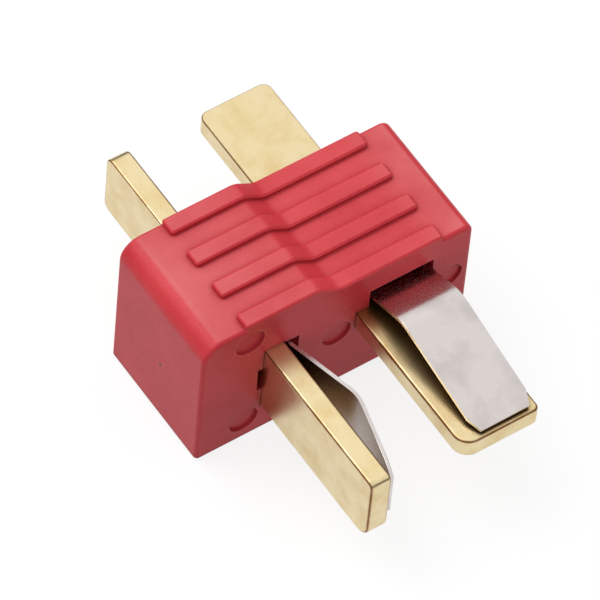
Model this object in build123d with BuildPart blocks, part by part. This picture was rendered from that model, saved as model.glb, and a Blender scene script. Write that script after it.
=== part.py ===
from build123d import *
import os

# Male half of a two-blade battery connector, in millimetres.
# X runs along the housing, the mating blades point towards -Y, the solder tabs
# towards +Y, and Z is up. The origin is under the middle of the whole part.

# Moulded housing: one end thick, the other stepped in above and below
housing_length = 16.0
housing_depth = 7.65
thick_height = 9.4
step_height = 0.8
step_start = 6.75
step_run = 1.2
step_bend_radius = 1.0
thick_end_radius = 1.2
thin_end_radius = 0.6
lower_end_radius = 0.25
outline_round = 0.25

# Finger ribs over the top
rib_count = 4
rib_width = 1.0
rib_height = 0.3
rib_root = 0.5
rib_edge_break = 0.1
rib_thick_end_inset = 2.45
rib_thin_end_inset = 1.85

# Contact bars: mating blade in front and narrower solder tab behind, with the
# shoulder between them hidden in the housing at its depth behind the front face
contact_thickness = 1.2
blade_width = 4.6
blade_length = 9.4
tab_width = 4.15
tab_length = 6.6
shoulder_depth = 5.0
blade_soft_corner = 0.9
blade_tight_corner = 0.35
tab_corner = 0.5
tab_relief = 0.03
contact_edge_round = 0.14
upright_inset = 3.7
upright_drop = 0.25
flat_inset = 2.25
flat_rise = 0.7

# Leaf springs, one on a broad face of each blade and near one of its edges.
# The flat blade's leaf starts to rise inside the housing and stands higher.
leaf_thickness = 0.2
leaf_width = 3.5
leaf_edge_inset = 0.2
leaf_root_depth = 3.7
leaf_hook_height = 0.42
leaf_hook_radius = 0.25
leaf_face_gap = 0.12
leaf_mouth_radius = 1.5
leaf_crest_radius = 2.0
leaf_tip_setback = 0.25
leaf_tip_gap = 0.1
leaf_tip_cut_width = 0.3
leaf_tip_cut_length = 0.85
upright_mouth_depth = 0.0
upright_crest_reach = 4.4
upright_crest_height = 1.3
flat_mouth_depth = 1.2
flat_crest_reach = 2.5
flat_crest_height = 1.5

# Clearances round the contacts and the leaves in the housing
contact_clearance = 0.03
leaf_side_clearance = 0.15
leaf_back_clearance = 0.2
upright_pocket_height = 0.85
flat_pocket_height = 1.3

# Round marks of the moulding tool and the relief behind each bar
mark_radius = 0.85
mark_depth = 0.15
end_mark_inset = 2.75
low_mark_rise = 1.6
high_mark_drop = 1.2
middle_mark_inset = 8.05
thin_mark_inset = 1.3
middle_mark_rise = 0.4
relief_width = 0.3
relief_height = 1.7
relief_depth = 2.5

# How near a corner lies to the place where it is looked for
corner_reach = 0.01

# Levels and places worked out from the sizes above
total_length = blade_length + housing_depth + tab_length
front_y = blade_length - total_length / 2
left_x = -housing_length / 2
right_x = housing_length / 2
step_x = left_x + step_start
thin_x = step_x + step_run
tab_end = housing_depth + tab_length
middle_z = thick_height / 2
thin_top_z = thick_height - step_height
rib_start_x = left_x + rib_thick_end_inset
rib_end_x = right_x - rib_thin_end_inset
rib_pitch = (housing_depth - rib_width) / (rib_count - 1)
mark_z = middle_z + middle_mark_rise
tab_shift = (blade_width - tab_width) / 2
leaf_shift = (blade_width - leaf_width) / 2 - leaf_edge_inset
leaf_middle = leaf_face_gap + leaf_thickness / 2
pocket_width = leaf_width + 2 * leaf_side_clearance
pocket_depth = leaf_root_depth + leaf_thickness / 2 + leaf_back_clearance

front_plane = Plane(origin=(0, front_y, 0), x_dir=(1, 0, 0), z_dir=(0, -1, 0))

# A contact's plane lies on the broad face that carries its leaf, where the bar
# leaves the housing: x across the bar, y towards the tab, z away from the bar.
upright_plane = Plane(
    origin=(left_x + upright_inset + contact_thickness, front_y, middle_z - upright_drop),
    x_dir=(0, 0, -1),
    z_dir=(1, 0, 0),
)
flat_plane = Plane(
    origin=(
        right_x - flat_inset - blade_width / 2,
        front_y,
        middle_z + flat_rise + contact_thickness / 2,
    ),
    x_dir=(1, 0, 0),
    z_dir=(0, 0, 1),
)

# Side of that plane, along its x, that the tab and the softer corner of the tip are
# on; the leaf is on the other side.
upright_side = 1
flat_side = -1

# Bends of each leaf: depth of the mouth in the housing, reach and height of the crest
upright_bends = (upright_mouth_depth, upright_crest_reach, upright_crest_height)
flat_bends = (flat_mouth_depth, flat_crest_reach, flat_crest_height)


def front_view(plane):
    """The contact's plane turned to look at the housing's front face."""
    return Plane(origin=plane.origin, x_dir=plane.x_dir, z_dir=-plane.y_dir)


def side_view(plane):
    """The contact's plane turned to look at the bar's narrow side, tip to the right."""
    return Plane(origin=plane.origin, x_dir=-plane.y_dir, z_dir=-plane.x_dir)


def corners_at(sketch, low_x, high_x, above_middle):
    """Corners of a front view between two x values, in one half of its height."""
    corners = sketch.vertices()
    found = corners.filter_by_position(Axis.X, low_x - corner_reach, high_x + corner_reach)
    return found.filter_by(lambda corner: (corner.Y > middle_z) == above_middle)


def housing_outline():
    """Front view of the housing, thick end left and thin end right."""
    with BuildSketch(front_plane) as outline:
        with BuildLine():
            Polyline(
                (left_x, 0),
                (step_x, 0),
                (thin_x, step_height),
                (right_x, step_height),
                (right_x, thin_top_z),
                (thin_x, thin_top_z),
                (step_x, thick_height),
                (left_x, thick_height),
                close=True,
            )
        make_face()
        for above in (True, False):
            fillet(corners_at(outline, step_x, thin_x, above), step_bend_radius)
        fillet(corners_at(outline, left_x, left_x, True), thick_end_radius)
        fillet(corners_at(outline, right_x, right_x, True), thin_end_radius)
        for end_x in (left_x, right_x):
            fillet(corners_at(outline, end_x, end_x, False), lower_end_radius)
    return outline.sketch


def rib_outline():
    """Side of one rib: a band that follows the stepped top, rooted in the housing."""
    with BuildSketch(front_plane) as band:
        with BuildLine():
            Polyline(
                (rib_start_x, thick_height - rib_root),
                (step_x, thick_height - rib_root),
                (thin_x, thin_top_z - rib_root),
                (rib_end_x, thin_top_z - rib_root),
                (rib_end_x, thin_top_z + rib_height),
                (thin_x, thin_top_z + rib_height),
                (step_x, thick_height + rib_height),
                (rib_start_x, thick_height + rib_height),
                close=True,
            )
        make_face()
        fillet(corners_at(band, step_x, thin_x, True), step_bend_radius)
        chamfer(band.vertices().group_by(Axis.X)[0].sort_by(Axis.Y)[-1], rib_edge_break)
        chamfer(band.vertices().group_by(Axis.X)[-1].sort_by(Axis.Y)[-1], rib_edge_break)
    return band.sketch


def contact_bar(plane, side):
    """One contact bar, rounded along its edges, its tab narrower than its blade."""
    with BuildPart() as bar:
        with BuildSketch(plane) as outline:
            with Locations((0, (shoulder_depth - blade_length) / 2)):
                Rectangle(blade_width, blade_length + shoulder_depth)
            with Locations((side * tab_shift, (shoulder_depth + tab_end) / 2)):
                Rectangle(tab_width, tab_end - shoulder_depth)
            for tip_side, radius in ((side, blade_soft_corner), (-side, blade_tight_corner)):
                tip = outline.vertices().group_by(Axis.Y)[0].sort_by(Axis.X)
                fillet(tip[0] if tip_side < 0 else tip[-1], radius)
            fillet(outline.vertices().group_by(Axis.Y)[-1], tab_corner)
        extrude(amount=-contact_thickness)
        broad_faces = bar.faces().filter_by(Axis(plane.origin, plane.z_dir))
        fillet(broad_faces.edges(), contact_edge_round)
        for level, direction in ((0, -1), (-contact_thickness, 1)):
            with BuildSketch(plane.offset(level)):
                with Locations((0, housing_depth + tab_length / 2)):
                    Rectangle(blade_width, tab_length)
            extrude(amount=direction * tab_relief, mode=Mode.SUBTRACT)
    return bar.part


def leaf_spring(plane, side, mouth_depth, crest_reach, crest_height):
    """One leaf: hooked root in the housing, crest over the blade, free tip near its end."""
    with BuildPart() as leaf:
        with BuildSketch(side_view(plane).offset(side * leaf_shift)):
            with BuildLine():
                FilletPolyline(
                    (-leaf_root_depth, leaf_middle + leaf_hook_height),
                    (-leaf_root_depth, leaf_middle),
                    (-mouth_depth, leaf_middle),
                    (crest_reach, crest_height + leaf_thickness / 2),
                    (blade_length - leaf_tip_setback, leaf_tip_gap + leaf_thickness / 2),
                    radius=(leaf_hook_radius, leaf_mouth_radius, leaf_crest_radius),
                )
            trace(line_width=leaf_thickness)
        extrude(amount=leaf_width / 2, both=True)
        tip_face = leaf.faces().sort_by(Axis.Y)[0]
        tip_corners = tip_face.edges().sort_by(SortBy.LENGTH)[:2]
        chamfer(tip_corners, leaf_tip_cut_width, leaf_tip_cut_length, reference=tip_face)
    return leaf.part


# Rib over the front edge
with BuildPart() as rib:
    extrude(rib_outline(), amount=-rib_width)
    chamfer(rib.edges().filter_by(Axis.Y, reverse=True), rib_edge_break)

# Housing
with BuildPart() as housing:
    extrude(housing_outline(), amount=-housing_depth)
    fillet(housing.edges().filter_by(Axis.Y, reverse=True), outline_round)
    with Locations([(0, index * rib_pitch, 0) for index in range(rib_count)]):
        add(rib.part)

    # Slot through for each bar, pocket for its leaf, and relief on its other side
    for plane, side, pocket_height in (
        (upright_plane, upright_side, upright_pocket_height),
        (flat_plane, flat_side, flat_pocket_height),
    ):
        for width, shift, depth in (
            (blade_width, 0, shoulder_depth),
            (tab_width, side * tab_shift, housing_depth),
        ):
            with BuildSketch(front_view(plane)):
                with Locations((shift, -contact_thickness / 2)):
                    Rectangle(
                        width + 2 * contact_clearance,
                        contact_thickness + 2 * contact_clearance,
                    )
            extrude(amount=-depth - contact_clearance, mode=Mode.SUBTRACT)
        with BuildSketch(front_view(plane)):
            with Locations((-side * leaf_shift, 0)):
                Rectangle(pocket_width, pocket_height, align=(Align.CENTER, Align.MIN))
        extrude(amount=-pocket_depth, mode=Mode.SUBTRACT)
        with BuildSketch(front_view(plane)):
            with Locations((0, -contact_thickness)):
                Rectangle(relief_height, relief_width, align=(Align.CENTER, Align.MAX))
        extrude(amount=-relief_depth, mode=Mode.SUBTRACT)

    # Shallow round marks on the front face
    with BuildSketch(front_plane):
        with Locations(
            (left_x + end_mark_inset, low_mark_rise),
            (left_x + end_mark_inset, thick_height - high_mark_drop),
            (left_x + middle_mark_inset, mark_z),
            (right_x - thin_mark_inset, mark_z),
        ):
            Circle(mark_radius)
    extrude(amount=-mark_depth, mode=Mode.SUBTRACT)

pieces = {
    "housing": housing.part,
    "upright_contact": contact_bar(upright_plane, upright_side),
    "flat_contact": contact_bar(flat_plane, flat_side),
    "upright_spring": leaf_spring(upright_plane, upright_side, *upright_bends),
    "flat_spring": leaf_spring(flat_plane, flat_side, *flat_bends),
}
os.makedirs("parts", exist_ok=True)
for name, piece in pieces.items():
    piece.label = name
    export_step(piece, f"parts/{name}.step")
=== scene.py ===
import bpy
import math
from mathutils import Matrix, Vector


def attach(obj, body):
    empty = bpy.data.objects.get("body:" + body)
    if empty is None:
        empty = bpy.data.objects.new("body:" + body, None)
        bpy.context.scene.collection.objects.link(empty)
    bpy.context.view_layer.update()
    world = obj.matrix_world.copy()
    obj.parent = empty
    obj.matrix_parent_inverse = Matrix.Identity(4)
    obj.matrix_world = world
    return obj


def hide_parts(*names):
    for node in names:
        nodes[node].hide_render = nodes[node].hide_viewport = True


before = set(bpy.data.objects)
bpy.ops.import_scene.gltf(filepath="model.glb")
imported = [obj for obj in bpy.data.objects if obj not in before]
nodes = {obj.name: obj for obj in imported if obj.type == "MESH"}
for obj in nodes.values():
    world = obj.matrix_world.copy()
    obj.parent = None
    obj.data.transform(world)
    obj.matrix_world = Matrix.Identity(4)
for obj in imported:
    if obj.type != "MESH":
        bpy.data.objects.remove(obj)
for name in ("Cube", "Light", "Camera"):  # what a new Blender file starts with
    if name in bpy.data.objects:
        bpy.data.objects.remove(bpy.data.objects[name])
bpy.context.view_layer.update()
mm = 0.001


def hexColour(text):  # sRGB hex to the linear colour that nodes take
    channels = [int(text[i:i + 2], 16) / 255 for i in (1, 3, 5)]
    linear = [c / 12.92 if c <= 0.04045 else ((c + 0.055) / 1.055) ** 2.4 for c in channels]
    return (*linear, 1.0)


def addNode(tree, kind, settings=None, links=None):
    # settings are the node's own properties or the values of its sockets
    node = tree.nodes.new(kind)
    for key, value in (settings or {}).items():
        if isinstance(key, str) and hasattr(node, key):
            setattr(node, key, value)
        else:
            node.inputs[key].default_value = value
    for key, socket in (links or {}).items():
        tree.links.new(socket, node.inputs[key])
    return node


def newMaterial(name):
    material = bpy.data.materials.new(name)
    material.use_nodes = True
    material.node_tree.nodes.clear()
    return material, material.node_tree


# numbers of the Mix node's colour sockets
firstColour, secondColour, mixedColour = 6, 7, 2
bevelSamples, cornerSamples = 6, 8


def edgeMask(tree, radius, sharpness):
    # 1 along edges and corners, 0 on open faces
    rounded = addNode(tree, "ShaderNodeBevel", {"samples": bevelSamples, "Radius": radius})
    plain = addNode(tree, "ShaderNodeNewGeometry")
    likeness = addNode(tree, "ShaderNodeVectorMath", {"operation": "DOT_PRODUCT"},
                       {0: rounded.outputs["Normal"], 1: plain.outputs["Normal"]})
    wear = addNode(tree, "ShaderNodeMapRange",
                   {"From Min": 1.0, "From Max": 1.0 - sharpness},
                   {"Value": likeness.outputs["Value"]})
    return wear.outputs["Result"]


# glass-filled nylon, injection moulded in a spark-eroded tool: an even strawberry red with a satin
# sheen, a fine eroded grain, faint flow clouds, a painted sheen on top, painted corner shade, and
# paler, smoother edges
nylon = {
    "colour": "#DB3F47",
    "cloudColour": "#CE333D",
    "cloudSize": 3.2 * mm,
    "cloudDetail": 3.0,
    "cloudRoughness": 0.5,
    "cloudStarts": 0.62,
    "cloudFull": 1.0,
    "grainSize": 0.12 * mm,  # the eroded grain is near 0.02 mm, drawn coarser so that it shows
    "grainDetail": 2.0,
    "grainRoughness": 0.6,
    "grainInCloud": 0.6,  # how much the grain breaks up the clouds
    "grainDepth": 0.010 * mm,
    "grainStrength": 0.6,
    "topSheenColour": "#EFA6A6",  # painted sheen: the top face painted paler, most of all at its two ends
    "sheenThick": (-7.5 * mm, 0.5 * mm),  # along the housing, from most painted sheen to least
    "sheenThin": (5.0 * mm, 7.6 * mm),  # from least to most
    "sheenAmount": 0.34,
    "sheenLeast": 0.25,
    "topFrom": 0.94,  # upward part of the normal
    "topFull": 0.99,
    "patchStarts": 0.3,  # the clouds also make the painted sheen patchy
    "patchFull": 0.65,
    "patchLeast": 0.6,
    "speckColour": "#5B2226",  # one burnt grain in the thick end's face
    "speckPlace": (-8.0 * mm, 1.08 * mm, 4.15 * mm),
    "speckSize": 0.17 * mm,
    "speckAmount": 0.8,
    "cornerShadeColour": "#AE1F2E",  # painted shade: a deeper red in corners and crevices
    "cornerReach": 0.55 * mm,
    "cornerStarts": 0.94,
    "cornerFull": 0.55,
    # paler edges: partly wear, partly a painted highlight
    "edgeColour": "#EA7674",
    "edgeRadius": 0.18 * mm,
    "edgeSharpness": 0.2,
    "edgeAmount": 0.45,
    "roughness": 0.42,
    "roughnessSpread": 0.07,
    "edgeRoughness": -0.08,  # added along the edges
    "gloss": 0.24,
    "refraction": 1.53,
}


def makeNylon():
    material, tree = newMaterial("glassFilledNylonMoulded")
    place = addNode(tree, "ShaderNodeTexCoord").outputs["Object"]
    cloud = addNode(tree, "ShaderNodeTexNoise",
                    {"Scale": 1 / nylon["cloudSize"], "Detail": nylon["cloudDetail"],
                     "Roughness": nylon["cloudRoughness"]},
                    {"Vector": place}).outputs["Fac"]
    grain = addNode(tree, "ShaderNodeTexNoise",
                    {"Scale": 1 / nylon["grainSize"], "Detail": nylon["grainDetail"],
                     "Roughness": nylon["grainRoughness"]},
                    {"Vector": place}).outputs["Fac"]
    mottle = addNode(tree, "ShaderNodeMath",
                     {"operation": "MULTIPLY_ADD", 1: nylon["grainInCloud"]},
                     {0: grain, 2: cloud})
    cloudAmount = addNode(tree, "ShaderNodeMapRange",
                          {"From Min": nylon["cloudStarts"], "From Max": nylon["cloudFull"]},
                          {"Value": mottle.outputs["Value"]})
    body = addNode(tree, "ShaderNodeMix",
                   {"data_type": "RGBA", firstColour: hexColour(nylon["colour"]),
                    secondColour: hexColour(nylon["cloudColour"])},
                   {"Factor": cloudAmount.outputs["Result"]})

    # painted sheen: the top face painted paler, stronger towards either end
    along = addNode(tree, "ShaderNodeSeparateXYZ", {}, {"Vector": place})
    most, least = nylon["sheenThick"]
    thickEnd = addNode(tree, "ShaderNodeMapRange",
                       {"From Min": least, "From Max": most, "To Min": nylon["sheenLeast"]},
                       {"Value": along.outputs["X"]})
    least, most = nylon["sheenThin"]
    thinEnd = addNode(tree, "ShaderNodeMapRange",
                      {"From Min": least, "From Max": most, "To Min": nylon["sheenLeast"]},
                      {"Value": along.outputs["X"]})
    eitherEnd = addNode(tree, "ShaderNodeMath", {"operation": "MAXIMUM"},
                        {0: thickEnd.outputs["Result"], 1: thinEnd.outputs["Result"]})
    surface = addNode(tree, "ShaderNodeNewGeometry")
    facing = addNode(tree, "ShaderNodeSeparateXYZ", {}, {"Vector": surface.outputs["Normal"]})
    onTop = addNode(tree, "ShaderNodeMapRange",
                    {"From Min": nylon["topFrom"], "From Max": nylon["topFull"],
                     "To Max": nylon["sheenAmount"]},
                    {"Value": facing.outputs["Z"]})
    topSheen = addNode(tree, "ShaderNodeMath", {"operation": "MULTIPLY"},
                      {0: eitherEnd.outputs["Value"], 1: onTop.outputs["Result"]})
    patchy = addNode(tree, "ShaderNodeMapRange",
                     {"From Min": nylon["patchStarts"], "From Max": nylon["patchFull"],
                      "To Min": 1.0, "To Max": nylon["patchLeast"]},
                     {"Value": cloud})
    sheenAmount = addNode(tree, "ShaderNodeMath", {"operation": "MULTIPLY"},
                        {0: topSheen.outputs["Value"], 1: patchy.outputs["Result"]})
    sheened = addNode(tree, "ShaderNodeMix",
                     {"data_type": "RGBA", secondColour: hexColour(nylon["topSheenColour"])},
                     {"Factor": sheenAmount.outputs["Value"],
                      firstColour: body.outputs[mixedColour]})

    fromSpeck = addNode(tree, "ShaderNodeVectorMath",
                        {"operation": "DISTANCE", 1: nylon["speckPlace"]}, {0: place})
    speckAmount = addNode(tree, "ShaderNodeMapRange",
                          {"From Min": nylon["speckSize"], "From Max": nylon["speckSize"] / 2,
                           "To Max": nylon["speckAmount"]},
                          {"Value": fromSpeck.outputs["Value"]})
    specked = addNode(tree, "ShaderNodeMix",
                      {"data_type": "RGBA", secondColour: hexColour(nylon["speckColour"])},
                      {"Factor": speckAmount.outputs["Result"],
                       firstColour: sheened.outputs[mixedColour]})

    # painted shade: deeper colour in corners; paler and smoother along outward edges, partly wear
    # and partly a painted highlight
    openness = addNode(tree, "ShaderNodeAmbientOcclusion",
                       {"samples": cornerSamples, "Distance": nylon["cornerReach"]})
    corner = addNode(tree, "ShaderNodeMapRange",
                     {"From Min": nylon["cornerStarts"], "From Max": nylon["cornerFull"]},
                     {"Value": openness.outputs["AO"]})
    cornerShaded = addNode(tree, "ShaderNodeMix",
                   {"data_type": "RGBA", secondColour: hexColour(nylon["cornerShadeColour"])},
                   {"Factor": corner.outputs["Result"],
                    firstColour: specked.outputs[mixedColour]})
    # paler edges, partly wear and partly a painted highlight
    edge = edgeMask(tree, nylon["edgeRadius"], nylon["edgeSharpness"])
    outward = addNode(tree, "ShaderNodeMath", {"operation": "MULTIPLY"},
                      {0: edge, 1: openness.outputs["AO"]})
    paler = addNode(tree, "ShaderNodeMath",
                    {"operation": "MULTIPLY", 1: nylon["edgeAmount"]},
                    {0: outward.outputs["Value"]})
    edgeTinted = addNode(tree, "ShaderNodeMix",
                   {"data_type": "RGBA", secondColour: hexColour(nylon["edgeColour"])},
                   {"Factor": paler.outputs["Value"], firstColour: cornerShaded.outputs[mixedColour]})
    matt = addNode(tree, "ShaderNodeMapRange",
                   {"To Min": nylon["roughness"] - nylon["roughnessSpread"],
                    "To Max": nylon["roughness"] + nylon["roughnessSpread"]},
                   {"Value": grain})
    smoother = addNode(tree, "ShaderNodeMath",
                       {"operation": "MULTIPLY_ADD", 1: nylon["edgeRoughness"]},
                       {0: outward.outputs["Value"], 2: matt.outputs["Result"]})
    bump = addNode(tree, "ShaderNodeBump",
                   {"Strength": nylon["grainStrength"], "Distance": nylon["grainDepth"]},
                   {"Height": grain})
    shader = addNode(tree, "ShaderNodeBsdfPrincipled",
                     {"IOR": nylon["refraction"], "Specular IOR Level": nylon["gloss"]},
                     {"Base Color": edgeTinted.outputs[mixedColour],
                      "Roughness": smoother.outputs["Value"],
                      "Normal": bump.outputs["Normal"]})
    addNode(tree, "ShaderNodeOutputMaterial", {}, {"Surface": shader.outputs["BSDF"]})
    return material


# gold flash on brass bars stamped from strip: pale champagne yellow, satin with fine lengthwise
# drawing lines, cloudy where it was handled, painted shade under the leaf, and a painted dark
# reflection along the edges
goldPlate = {
    "colour": "#E7D5A9",
    "dullColour": "#DBC38E",
    "cloudSize": 1.3 * mm,
    "cloudDetail": 5.0,
    "cloudRoughness": 0.6,
    "cloudStarts": 0.42,
    "cloudFull": 0.72,
    "lineSize": 0.07 * mm,  # drawing lines are near 0.01 mm, drawn coarser so that they show
    "lineLength": 2.5 * mm,
    "lineDetail": 2.0,
    "lineRoughness": 0.6,
    "lineDepth": 0.004 * mm,
    "lineStrength": 0.5,
    "underLeafShadeColour": "#9A6E24",  # painted shade under the leaf, on the side towards it
    "underLeafShadeReach": 2.6 * mm,
    "underLeafShadeStarts": 0.85,  # how open the place is to the light
    "underLeafShadeFull": 0.5,
    "underLeafShadeAmount": 0.8,
    "leafSideFrom": 0.5,  # part of the normal that points to the leaf
    "leafSideFull": 0.95,
    # painted dark reflection along the edges, brown
    "edgeColour": "#84502E",
    "edgeRadius": 0.12 * mm,
    "edgeAmount": (3.0, 4.6),  # the clouds make the brown line come and go
    "edgeStarts": 0.35,
    "edgeFull": 0.6,
    "edgeRoughness": 0.2,  # added along the edges
    "roughness": 0.31,
    "roughnessBelow": 0.08,
    "roughnessAbove": 0.10,
}


def makeGoldPlate(name, across):  # across is the axis that the bar's thickness lies along
    material, tree = newMaterial(name)
    place = addNode(tree, "ShaderNodeTexCoord").outputs["Object"]
    cloud = addNode(tree, "ShaderNodeTexNoise",
                    {"Scale": 1 / goldPlate["cloudSize"], "Detail": goldPlate["cloudDetail"],
                     "Roughness": goldPlate["cloudRoughness"]},
                    {"Vector": place}).outputs["Fac"]
    stretch = addNode(tree, "ShaderNodeMapping",
                      {"Scale": (1, goldPlate["lineSize"] / goldPlate["lineLength"], 1)},
                      {"Vector": place})
    lines = addNode(tree, "ShaderNodeTexNoise",
                    {"Scale": 1 / goldPlate["lineSize"], "Detail": goldPlate["lineDetail"],
                     "Roughness": goldPlate["lineRoughness"]},
                    {"Vector": stretch.outputs["Vector"]}).outputs["Fac"]
    cloudAmount = addNode(tree, "ShaderNodeMapRange",
                          {"From Min": goldPlate["cloudStarts"],
                           "From Max": goldPlate["cloudFull"]},
                          {"Value": cloud})
    body = addNode(tree, "ShaderNodeMix",
                   {"data_type": "RGBA", firstColour: hexColour(goldPlate["colour"]),
                    secondColour: hexColour(goldPlate["dullColour"])},
                   {"Factor": cloudAmount.outputs["Result"]})

    # painted shade, only on the side towards the leaf and only where something covers it
    rounded = addNode(tree, "ShaderNodeBevel",
                      {"samples": bevelSamples, "Radius": goldPlate["edgeRadius"]})
    facing = addNode(tree, "ShaderNodeSeparateXYZ", {}, {"Vector": rounded.outputs["Normal"]})
    leafSide = addNode(tree, "ShaderNodeMapRange",
                       {"From Min": goldPlate["leafSideFrom"],
                        "From Max": goldPlate["leafSideFull"]},
                       {"Value": facing.outputs[across]})
    openness = addNode(tree, "ShaderNodeAmbientOcclusion",
                       {"samples": cornerSamples, "Distance": goldPlate["underLeafShadeReach"]})
    covered = addNode(tree, "ShaderNodeMapRange",
                      {"From Min": goldPlate["underLeafShadeStarts"],
                       "From Max": goldPlate["underLeafShadeFull"],
                       "To Max": goldPlate["underLeafShadeAmount"]},
                      {"Value": openness.outputs["AO"]})
    hidden = addNode(tree, "ShaderNodeMath", {"operation": "MULTIPLY"},
                     {0: covered.outputs["Result"], 1: leafSide.outputs["Result"]})
    shadedUnderLeaf = addNode(tree, "ShaderNodeMix",
                        {"data_type": "RGBA", secondColour: hexColour(goldPlate["underLeafShadeColour"])},
                        {"Factor": hidden.outputs["Value"],
                         firstColour: body.outputs[mixedColour]})

    # painted dark reflection along the edges, brown: a*a * (1 - a*a) peaks where the rounded
    # normal is halfway between two faces
    size = addNode(tree, "ShaderNodeMath", {"operation": "ABSOLUTE"},
                   {0: facing.outputs[across]})
    square = addNode(tree, "ShaderNodeMath", {"operation": "POWER", 1: 2.0},
                     {0: size.outputs["Value"]})
    rest = addNode(tree, "ShaderNodeMath", {"operation": "SUBTRACT", 0: 1.0},
                   {1: square.outputs["Value"]})
    edge = addNode(tree, "ShaderNodeMath", {"operation": "MULTIPLY"},
                   {0: square.outputs["Value"], 1: rest.outputs["Value"]})
    patchy = addNode(tree, "ShaderNodeMapRange",
                     {"From Min": goldPlate["edgeStarts"], "From Max": goldPlate["edgeFull"],
                      "To Min": goldPlate["edgeAmount"][0], "To Max": goldPlate["edgeAmount"][1]},
                     {"Value": cloud})
    darkEdge = addNode(tree, "ShaderNodeMath", {"operation": "MULTIPLY", "use_clamp": True},
                   {0: edge.outputs["Value"], 1: patchy.outputs["Result"]})
    edgeTinted = addNode(tree, "ShaderNodeMix",
                   {"data_type": "RGBA", secondColour: hexColour(goldPlate["edgeColour"])},
                   {"Factor": darkEdge.outputs["Value"],
                    firstColour: shadedUnderLeaf.outputs[mixedColour]})
    matt = addNode(tree, "ShaderNodeMapRange",
                   {"To Min": goldPlate["roughness"] - goldPlate["roughnessBelow"],
                    "To Max": goldPlate["roughness"] + goldPlate["roughnessAbove"]},
                   {"Value": cloud})
    rougher = addNode(tree, "ShaderNodeMath",
                      {"operation": "MULTIPLY_ADD", 1: goldPlate["edgeRoughness"]},
                      {0: darkEdge.outputs["Value"], 2: matt.outputs["Result"]})
    bump = addNode(tree, "ShaderNodeBump",
                   {"Strength": goldPlate["lineStrength"], "Distance": goldPlate["lineDepth"]},
                   {"Height": lines})
    shader = addNode(tree, "ShaderNodeBsdfPrincipled", {"Metallic": 1.0},
                     {"Base Color": edgeTinted.outputs[mixedColour],
                      "Roughness": rougher.outputs["Value"],
                      "Normal": bump.outputs["Normal"]})
    addNode(tree, "ShaderNodeOutputMaterial", {}, {"Surface": shader.outputs["BSDF"]})
    return material


# stainless spring strip, cold rolled and slit: a neutral light grey satin with hairlines
# along the strip, faint smudges, painted shade on the side towards the bar, and a painted
# highlight along the slit edges
leafSteel = {
    "colour": "#D8D1CE",
    "smudgeColour": "#C6BEBB",
    "smudgeSize": 1.8 * mm,
    "smudgeDetail": 4.0,
    "smudgeRoughness": 0.55,
    "smudgeStarts": 0.45,
    "smudgeFull": 0.75,
    "lineSize": 0.05 * mm,  # rolling lines are near 0.005 mm, drawn coarser so that they show
    "lineLength": 4.0 * mm,
    "lineDetail": 2.0,
    "lineRoughness": 0.6,
    "lineDepth": 0.0025 * mm,
    "lineStrength": 0.5,
    "innerShadeColour": "#887063",  # painted shade: the side towards the bar painted a dull brown
    "innerFrom": -0.4,  # part of the normal that points away from the bar
    "innerFull": -0.8,
    "innerShadeAmount": 0.85,
    # painted highlight along the slit edges
    "edgeColour": "#E6E1DE",
    "edgeRadius": 0.05 * mm,
    "edgeSharpness": 0.3,
    "roughness": 0.25,
    "roughnessBelow": 0.06,
    "roughnessAbove": 0.09,
}


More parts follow.
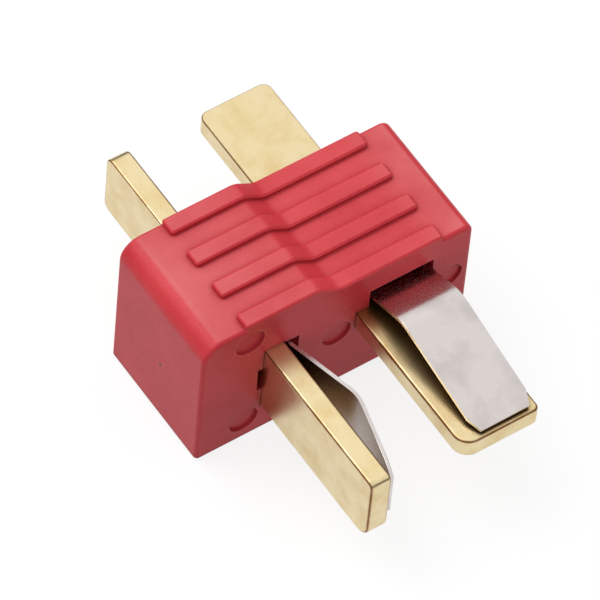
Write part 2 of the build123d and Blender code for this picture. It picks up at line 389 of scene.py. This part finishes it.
def makeLeafSteel(name, across):  # across is the axis that points from the bar to its leaf
    material, tree = newMaterial(name)
    place = addNode(tree, "ShaderNodeTexCoord").outputs["Object"]
    stretch = addNode(tree, "ShaderNodeMapping",
                      {"Scale": (1, leafSteel["lineSize"] / leafSteel["lineLength"], 1)},
                      {"Vector": place})
    lines = addNode(tree, "ShaderNodeTexNoise",
                    {"Scale": 1 / leafSteel["lineSize"], "Detail": leafSteel["lineDetail"],
                     "Roughness": leafSteel["lineRoughness"]},
                    {"Vector": stretch.outputs["Vector"]}).outputs["Fac"]
    smudge = addNode(tree, "ShaderNodeTexNoise",
                     {"Scale": 1 / leafSteel["smudgeSize"], "Detail": leafSteel["smudgeDetail"],
                      "Roughness": leafSteel["smudgeRoughness"]},
                     {"Vector": place}).outputs["Fac"]
    smudgeAmount = addNode(tree, "ShaderNodeMapRange",
                           {"From Min": leafSteel["smudgeStarts"],
                            "From Max": leafSteel["smudgeFull"]},
                           {"Value": smudge})
    body = addNode(tree, "ShaderNodeMix",
                   {"data_type": "RGBA", firstColour: hexColour(leafSteel["colour"]),
                    secondColour: hexColour(leafSteel["smudgeColour"])},
                   {"Factor": smudgeAmount.outputs["Result"]})
    surface = addNode(tree, "ShaderNodeNewGeometry")
    facing = addNode(tree, "ShaderNodeSeparateXYZ", {}, {"Vector": surface.outputs["Normal"]})
    inward = addNode(tree, "ShaderNodeMapRange",
                     {"From Min": leafSteel["innerFrom"], "From Max": leafSteel["innerFull"],
                      "To Max": leafSteel["innerShadeAmount"]},
                     {"Value": facing.outputs[across]})
    innerShaded = addNode(tree, "ShaderNodeMix",
                    {"data_type": "RGBA", secondColour: hexColour(leafSteel["innerShadeColour"])},
                    {"Factor": inward.outputs["Result"],
                     firstColour: body.outputs[mixedColour]})
    edge = edgeMask(tree, leafSteel["edgeRadius"], leafSteel["edgeSharpness"])
    edgeTinted = addNode(tree, "ShaderNodeMix",
                   {"data_type": "RGBA", secondColour: hexColour(leafSteel["edgeColour"])},
                   {"Factor": edge, firstColour: innerShaded.outputs[mixedColour]})
    matt = addNode(tree, "ShaderNodeMapRange",
                   {"To Min": leafSteel["roughness"] - leafSteel["roughnessBelow"],
                    "To Max": leafSteel["roughness"] + leafSteel["roughnessAbove"]},
                   {"Value": lines})
    bump = addNode(tree, "ShaderNodeBump",
                   {"Strength": leafSteel["lineStrength"], "Distance": leafSteel["lineDepth"]},
                   {"Height": lines})
    shader = addNode(tree, "ShaderNodeBsdfPrincipled", {"Metallic": 1.0},
                     {"Base Color": edgeTinted.outputs[mixedColour],
                      "Roughness": matt.outputs["Result"],
                      "Normal": bump.outputs["Normal"]})
    addNode(tree, "ShaderNodeOutputMaterial", {}, {"Surface": shader.outputs["BSDF"]})
    return material


nylonMaterial = makeNylon()
uprightGold = makeGoldPlate("goldFlashOnUprightBrassBar", "X")
flatGold = makeGoldPlate("goldFlashOnFlatBrassBar", "Z")
uprightSteel = makeLeafSteel("rolledStainlessUprightLeaf", "X")
flatSteel = makeLeafSteel("rolledStainlessFlatLeaf", "Z")
print("materials made")


# the bars already have their rolled edges in the CAD, so they only take the finish
nodes["upright_contact"].material_slots[0].material = uprightGold
nodes["flat_contact"].material_slots[0].material = flatGold

# the moulding and the two leaves get their edges broken, as a mould and a slitter leave them
softPieces = {
    "mouldedHousing": {
        "node": "housing", "body": "plug", "slot": "housing_nylon", "material": nylonMaterial,
        "edge": 0.05 * mm, "steps": 2,
        # a box whose edges stay sharp: the rims round the two tabs at the rear
        "leftSharp": ((-4.6 * mm, 5.2 * mm, 1.9 * mm), (6.0 * mm, 5.3 * mm, 6.9 * mm)),
    },
    "uprightLeaf": {
        "node": "upright_spring", "body": "upright_leaf", "slot": "leaf_spring_steel",
        "material": uprightSteel, "edge": 0.03 * mm, "steps": 2,
    },
    "flatLeaf": {
        "node": "flat_spring", "body": "flat_leaf", "slot": "leaf_spring_steel",
        "material": flatSteel, "edge": 0.03 * mm, "steps": 2,
    },
}
softening = {
    "mergeWithin": 0.0005 * mm,
    "flatWithin": math.radians(0.5),
    "sharpFrom": math.radians(35),
    "smoothUpTo": math.radians(32),
    "nowhere": ((0, 0, 0), (0, 0, 0)),
}


def softenedCopy(name, setting):
    source = nodes[setting["node"]]
    source.material_slots[0].material = setting["material"]
    piece = source.copy()
    piece.data = source.data.copy()
    piece.name = name
    for key in list(piece.keys()):  # the CAD node's own properties stay with the node
        del piece[key]
    piece.parent = None
    bpy.context.scene.collection.objects.link(piece)
    bpy.ops.object.select_all(action="DESELECT")
    piece.select_set(True)
    bpy.context.view_layer.objects.active = piece

    # loose triangles become whole faces, and the edges to break stay selected
    bpy.ops.mesh.customdata_custom_splitnormals_clear()
    bpy.ops.object.mode_set(mode="EDIT")
    bpy.ops.mesh.select_all(action="SELECT")
    bpy.ops.mesh.remove_doubles(threshold=softening["mergeWithin"])
    bpy.ops.mesh.dissolve_limited(angle_limit=softening["flatWithin"], delimit={"NORMAL"})
    bpy.ops.mesh.select_all(action="DESELECT")
    bpy.ops.mesh.select_mode(type="EDGE")
    bpy.ops.mesh.edges_select_sharp(sharpness=softening["sharpFrom"])
    bpy.ops.object.mode_set(mode="OBJECT")
    low, high = setting.get("leftSharp", softening["nowhere"])
    weights = piece.data.attributes.new("bevel_weight_edge", "FLOAT", "EDGE")
    for edge in piece.data.edges:
        ends = [piece.data.vertices[index].co for index in edge.vertices]
        spared = all(low[axis] < end[axis] < high[axis] for end in ends for axis in range(3))
        weights.data[edge.index].value = float(edge.select and not spared)

    soft = piece.modifiers.new("soft", "BEVEL")
    soft.width = setting["edge"]
    soft.segments = setting["steps"]
    soft.offset_type = "ABSOLUTE"  # the other kinds throw spikes where rounds meet
    soft.limit_method = "WEIGHT"
    soft.use_clamp_overlap = False
    soft.miter_outer = "MITER_ARC"
    bpy.ops.object.modifier_apply(modifier="soft")
    bpy.ops.object.shade_smooth_by_angle(angle=softening["smoothUpTo"])
    even = piece.modifiers.new("even", "WEIGHTED_NORMAL")  # keeps broad faces flat to the eye
    even.keep_sharp = True
    bpy.ops.object.modifier_apply(modifier="even")
    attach(piece, setting["body"])
    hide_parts(setting["node"])
    return piece


for name, setting in softPieces.items():
    piece = softenedCopy(name, setting)
    print(name, "has", len(piece.data.polygons), "faces")


studio = {
    "floorSize": 1.6,
    "floorColour": "#7C7C7C",  # takes the shadow
    "floorGlow": 0.83,  # brings the open part of the floor to white
    "floorRoughness": 0.9,
    "roomFill": 0.66,  # strength of the room's light on the object
    "cardRadius": 0.26,
    "cardHeight": 0.14,
    "cardSides": 64,
    "cardColour": "#2A2624",
    "cardRoughness": 0.8,
    "softboxAt": (-0.12, 0.21, 0.36),
    "softboxSize": 0.32,
    "softboxWatts": 0.88,
}
white = (1, 1, 1, 1)


def backgroundRays(tree):
    # 1 for the camera and for what metal and gloss mirror, 0 for the light on the object
    path = addNode(tree, "ShaderNodeLightPath")
    mirrored = addNode(tree, "ShaderNodeMath", {"operation": "MAXIMUM"},
                       {0: path.outputs["Is Glossy Ray"],
                        1: path.outputs["Is Transmission Ray"]})
    either = addNode(tree, "ShaderNodeMath", {"operation": "MAXIMUM"},
                     {0: path.outputs["Is Camera Ray"], 1: mirrored.outputs["Value"]})
    return either.outputs["Value"]


# white paper floor
bpy.ops.object.select_all(action="DESELECT")
bpy.ops.mesh.primitive_plane_add(size=studio["floorSize"], location=(0, 0, 0))
floor = bpy.context.object
floor.name = "floor"
material, tree = newMaterial("paperSweep")
paper = addNode(tree, "ShaderNodeBsdfPrincipled",
                {"Base Color": hexColour(studio["floorColour"]),
                 "Roughness": studio["floorRoughness"], "Specular IOR Level": 0.0})
glowLevel = addNode(tree, "ShaderNodeMath",
                    {"operation": "MULTIPLY", 1: studio["floorGlow"]},
                    {0: backgroundRays(tree)})
glow = addNode(tree, "ShaderNodeEmission", {"Color": white},
               {"Strength": glowLevel.outputs["Value"]})
both = addNode(tree, "ShaderNodeAddShader", {},
               {0: paper.outputs["BSDF"], 1: glow.outputs["Emission"]})
addNode(tree, "ShaderNodeOutputMaterial", {}, {"Surface": both.outputs["Shader"]})
floor.data.materials.append(material)

world = bpy.data.worlds.new("whiteRoom")
bpy.context.scene.world = world
world.use_nodes = True
tree = world.node_tree
tree.nodes.clear()
level = addNode(tree, "ShaderNodeMapRange", {"To Min": studio["roomFill"], "To Max": 1.0},
                {"Value": backgroundRays(tree)})
sky = addNode(tree, "ShaderNodeBackground", {"Color": white},
              {"Strength": level.outputs["Result"]})
addNode(tree, "ShaderNodeOutputWorld", {}, {"Surface": sky.outputs["Background"]})

# black card standing round the table gives the metal and the edges something dark to show
bpy.ops.mesh.primitive_cylinder_add(vertices=studio["cardSides"], radius=studio["cardRadius"],
                                    depth=studio["cardHeight"], end_fill_type="NOTHING",
                                    location=(0, 0, studio["cardHeight"] / 2))
card = bpy.context.object
card.name = "blackCard"
material, tree = newMaterial("blackCard")
black = addNode(tree, "ShaderNodeBsdfPrincipled",
                {"Base Color": hexColour(studio["cardColour"]),
                 "Roughness": studio["cardRoughness"]})
addNode(tree, "ShaderNodeOutputMaterial", {}, {"Surface": black.outputs["BSDF"]})
card.data.materials.append(material)
card.visible_camera = False
card.visible_diffuse = False
card.visible_shadow = False

lamp = bpy.data.lights.new("softbox", "AREA")
lamp.size = studio["softboxSize"]
lamp.energy = studio["softboxWatts"]
lampObject = bpy.data.objects.new("softbox", lamp)
bpy.context.scene.collection.objects.link(lampObject)
lampObject.location = studio["softboxAt"]
towardsPart = -Vector(studio["softboxAt"])
lampObject.rotation_euler = towardsPart.to_track_quat("-Z", "Y").to_euler()
lampObject.visible_camera = False
print("studio ready")


# camera, found from the straight edges of the housing and the bars
view = {
    "azimuth": -38.44,
    "elevation": 54.59,
    "roll": 5.82,
    "distance": 423.1 * mm,
    "target": (-0.677 * mm, -0.193 * mm, 5.792 * mm),
    "lens": 514.4,
    "sensor": 36,
    "nearest": 0.01,
    "farthest": 10,
}
azimuth, elevation, roll = (math.radians(view[key]) for key in ("azimuth", "elevation", "roll"))
back = Vector((math.sin(azimuth) * math.cos(elevation),
               -math.cos(azimuth) * math.cos(elevation),
               math.sin(elevation)))
right = (-back).cross(Vector((0, 0, 1))).normalized()
up = right.cross(-back)
turn = Matrix((right, up, back)).transposed() @ Matrix.Rotation(roll, 3, "Z")
camera = bpy.data.cameras.new("camera")
camera.lens = view["lens"]
camera.sensor_width = view["sensor"]
camera.clip_start = view["nearest"]
camera.clip_end = view["farthest"]
cameraObject = bpy.data.objects.new("camera", camera)
bpy.context.scene.collection.objects.link(cameraObject)
cameraObject.location = Vector(view["target"]) + back * view["distance"]
cameraObject.rotation_euler = turn.to_euler()
bpy.context.scene.camera = cameraObject
bpy.context.scene.view_settings.view_transform = "Standard"
print("camera set")
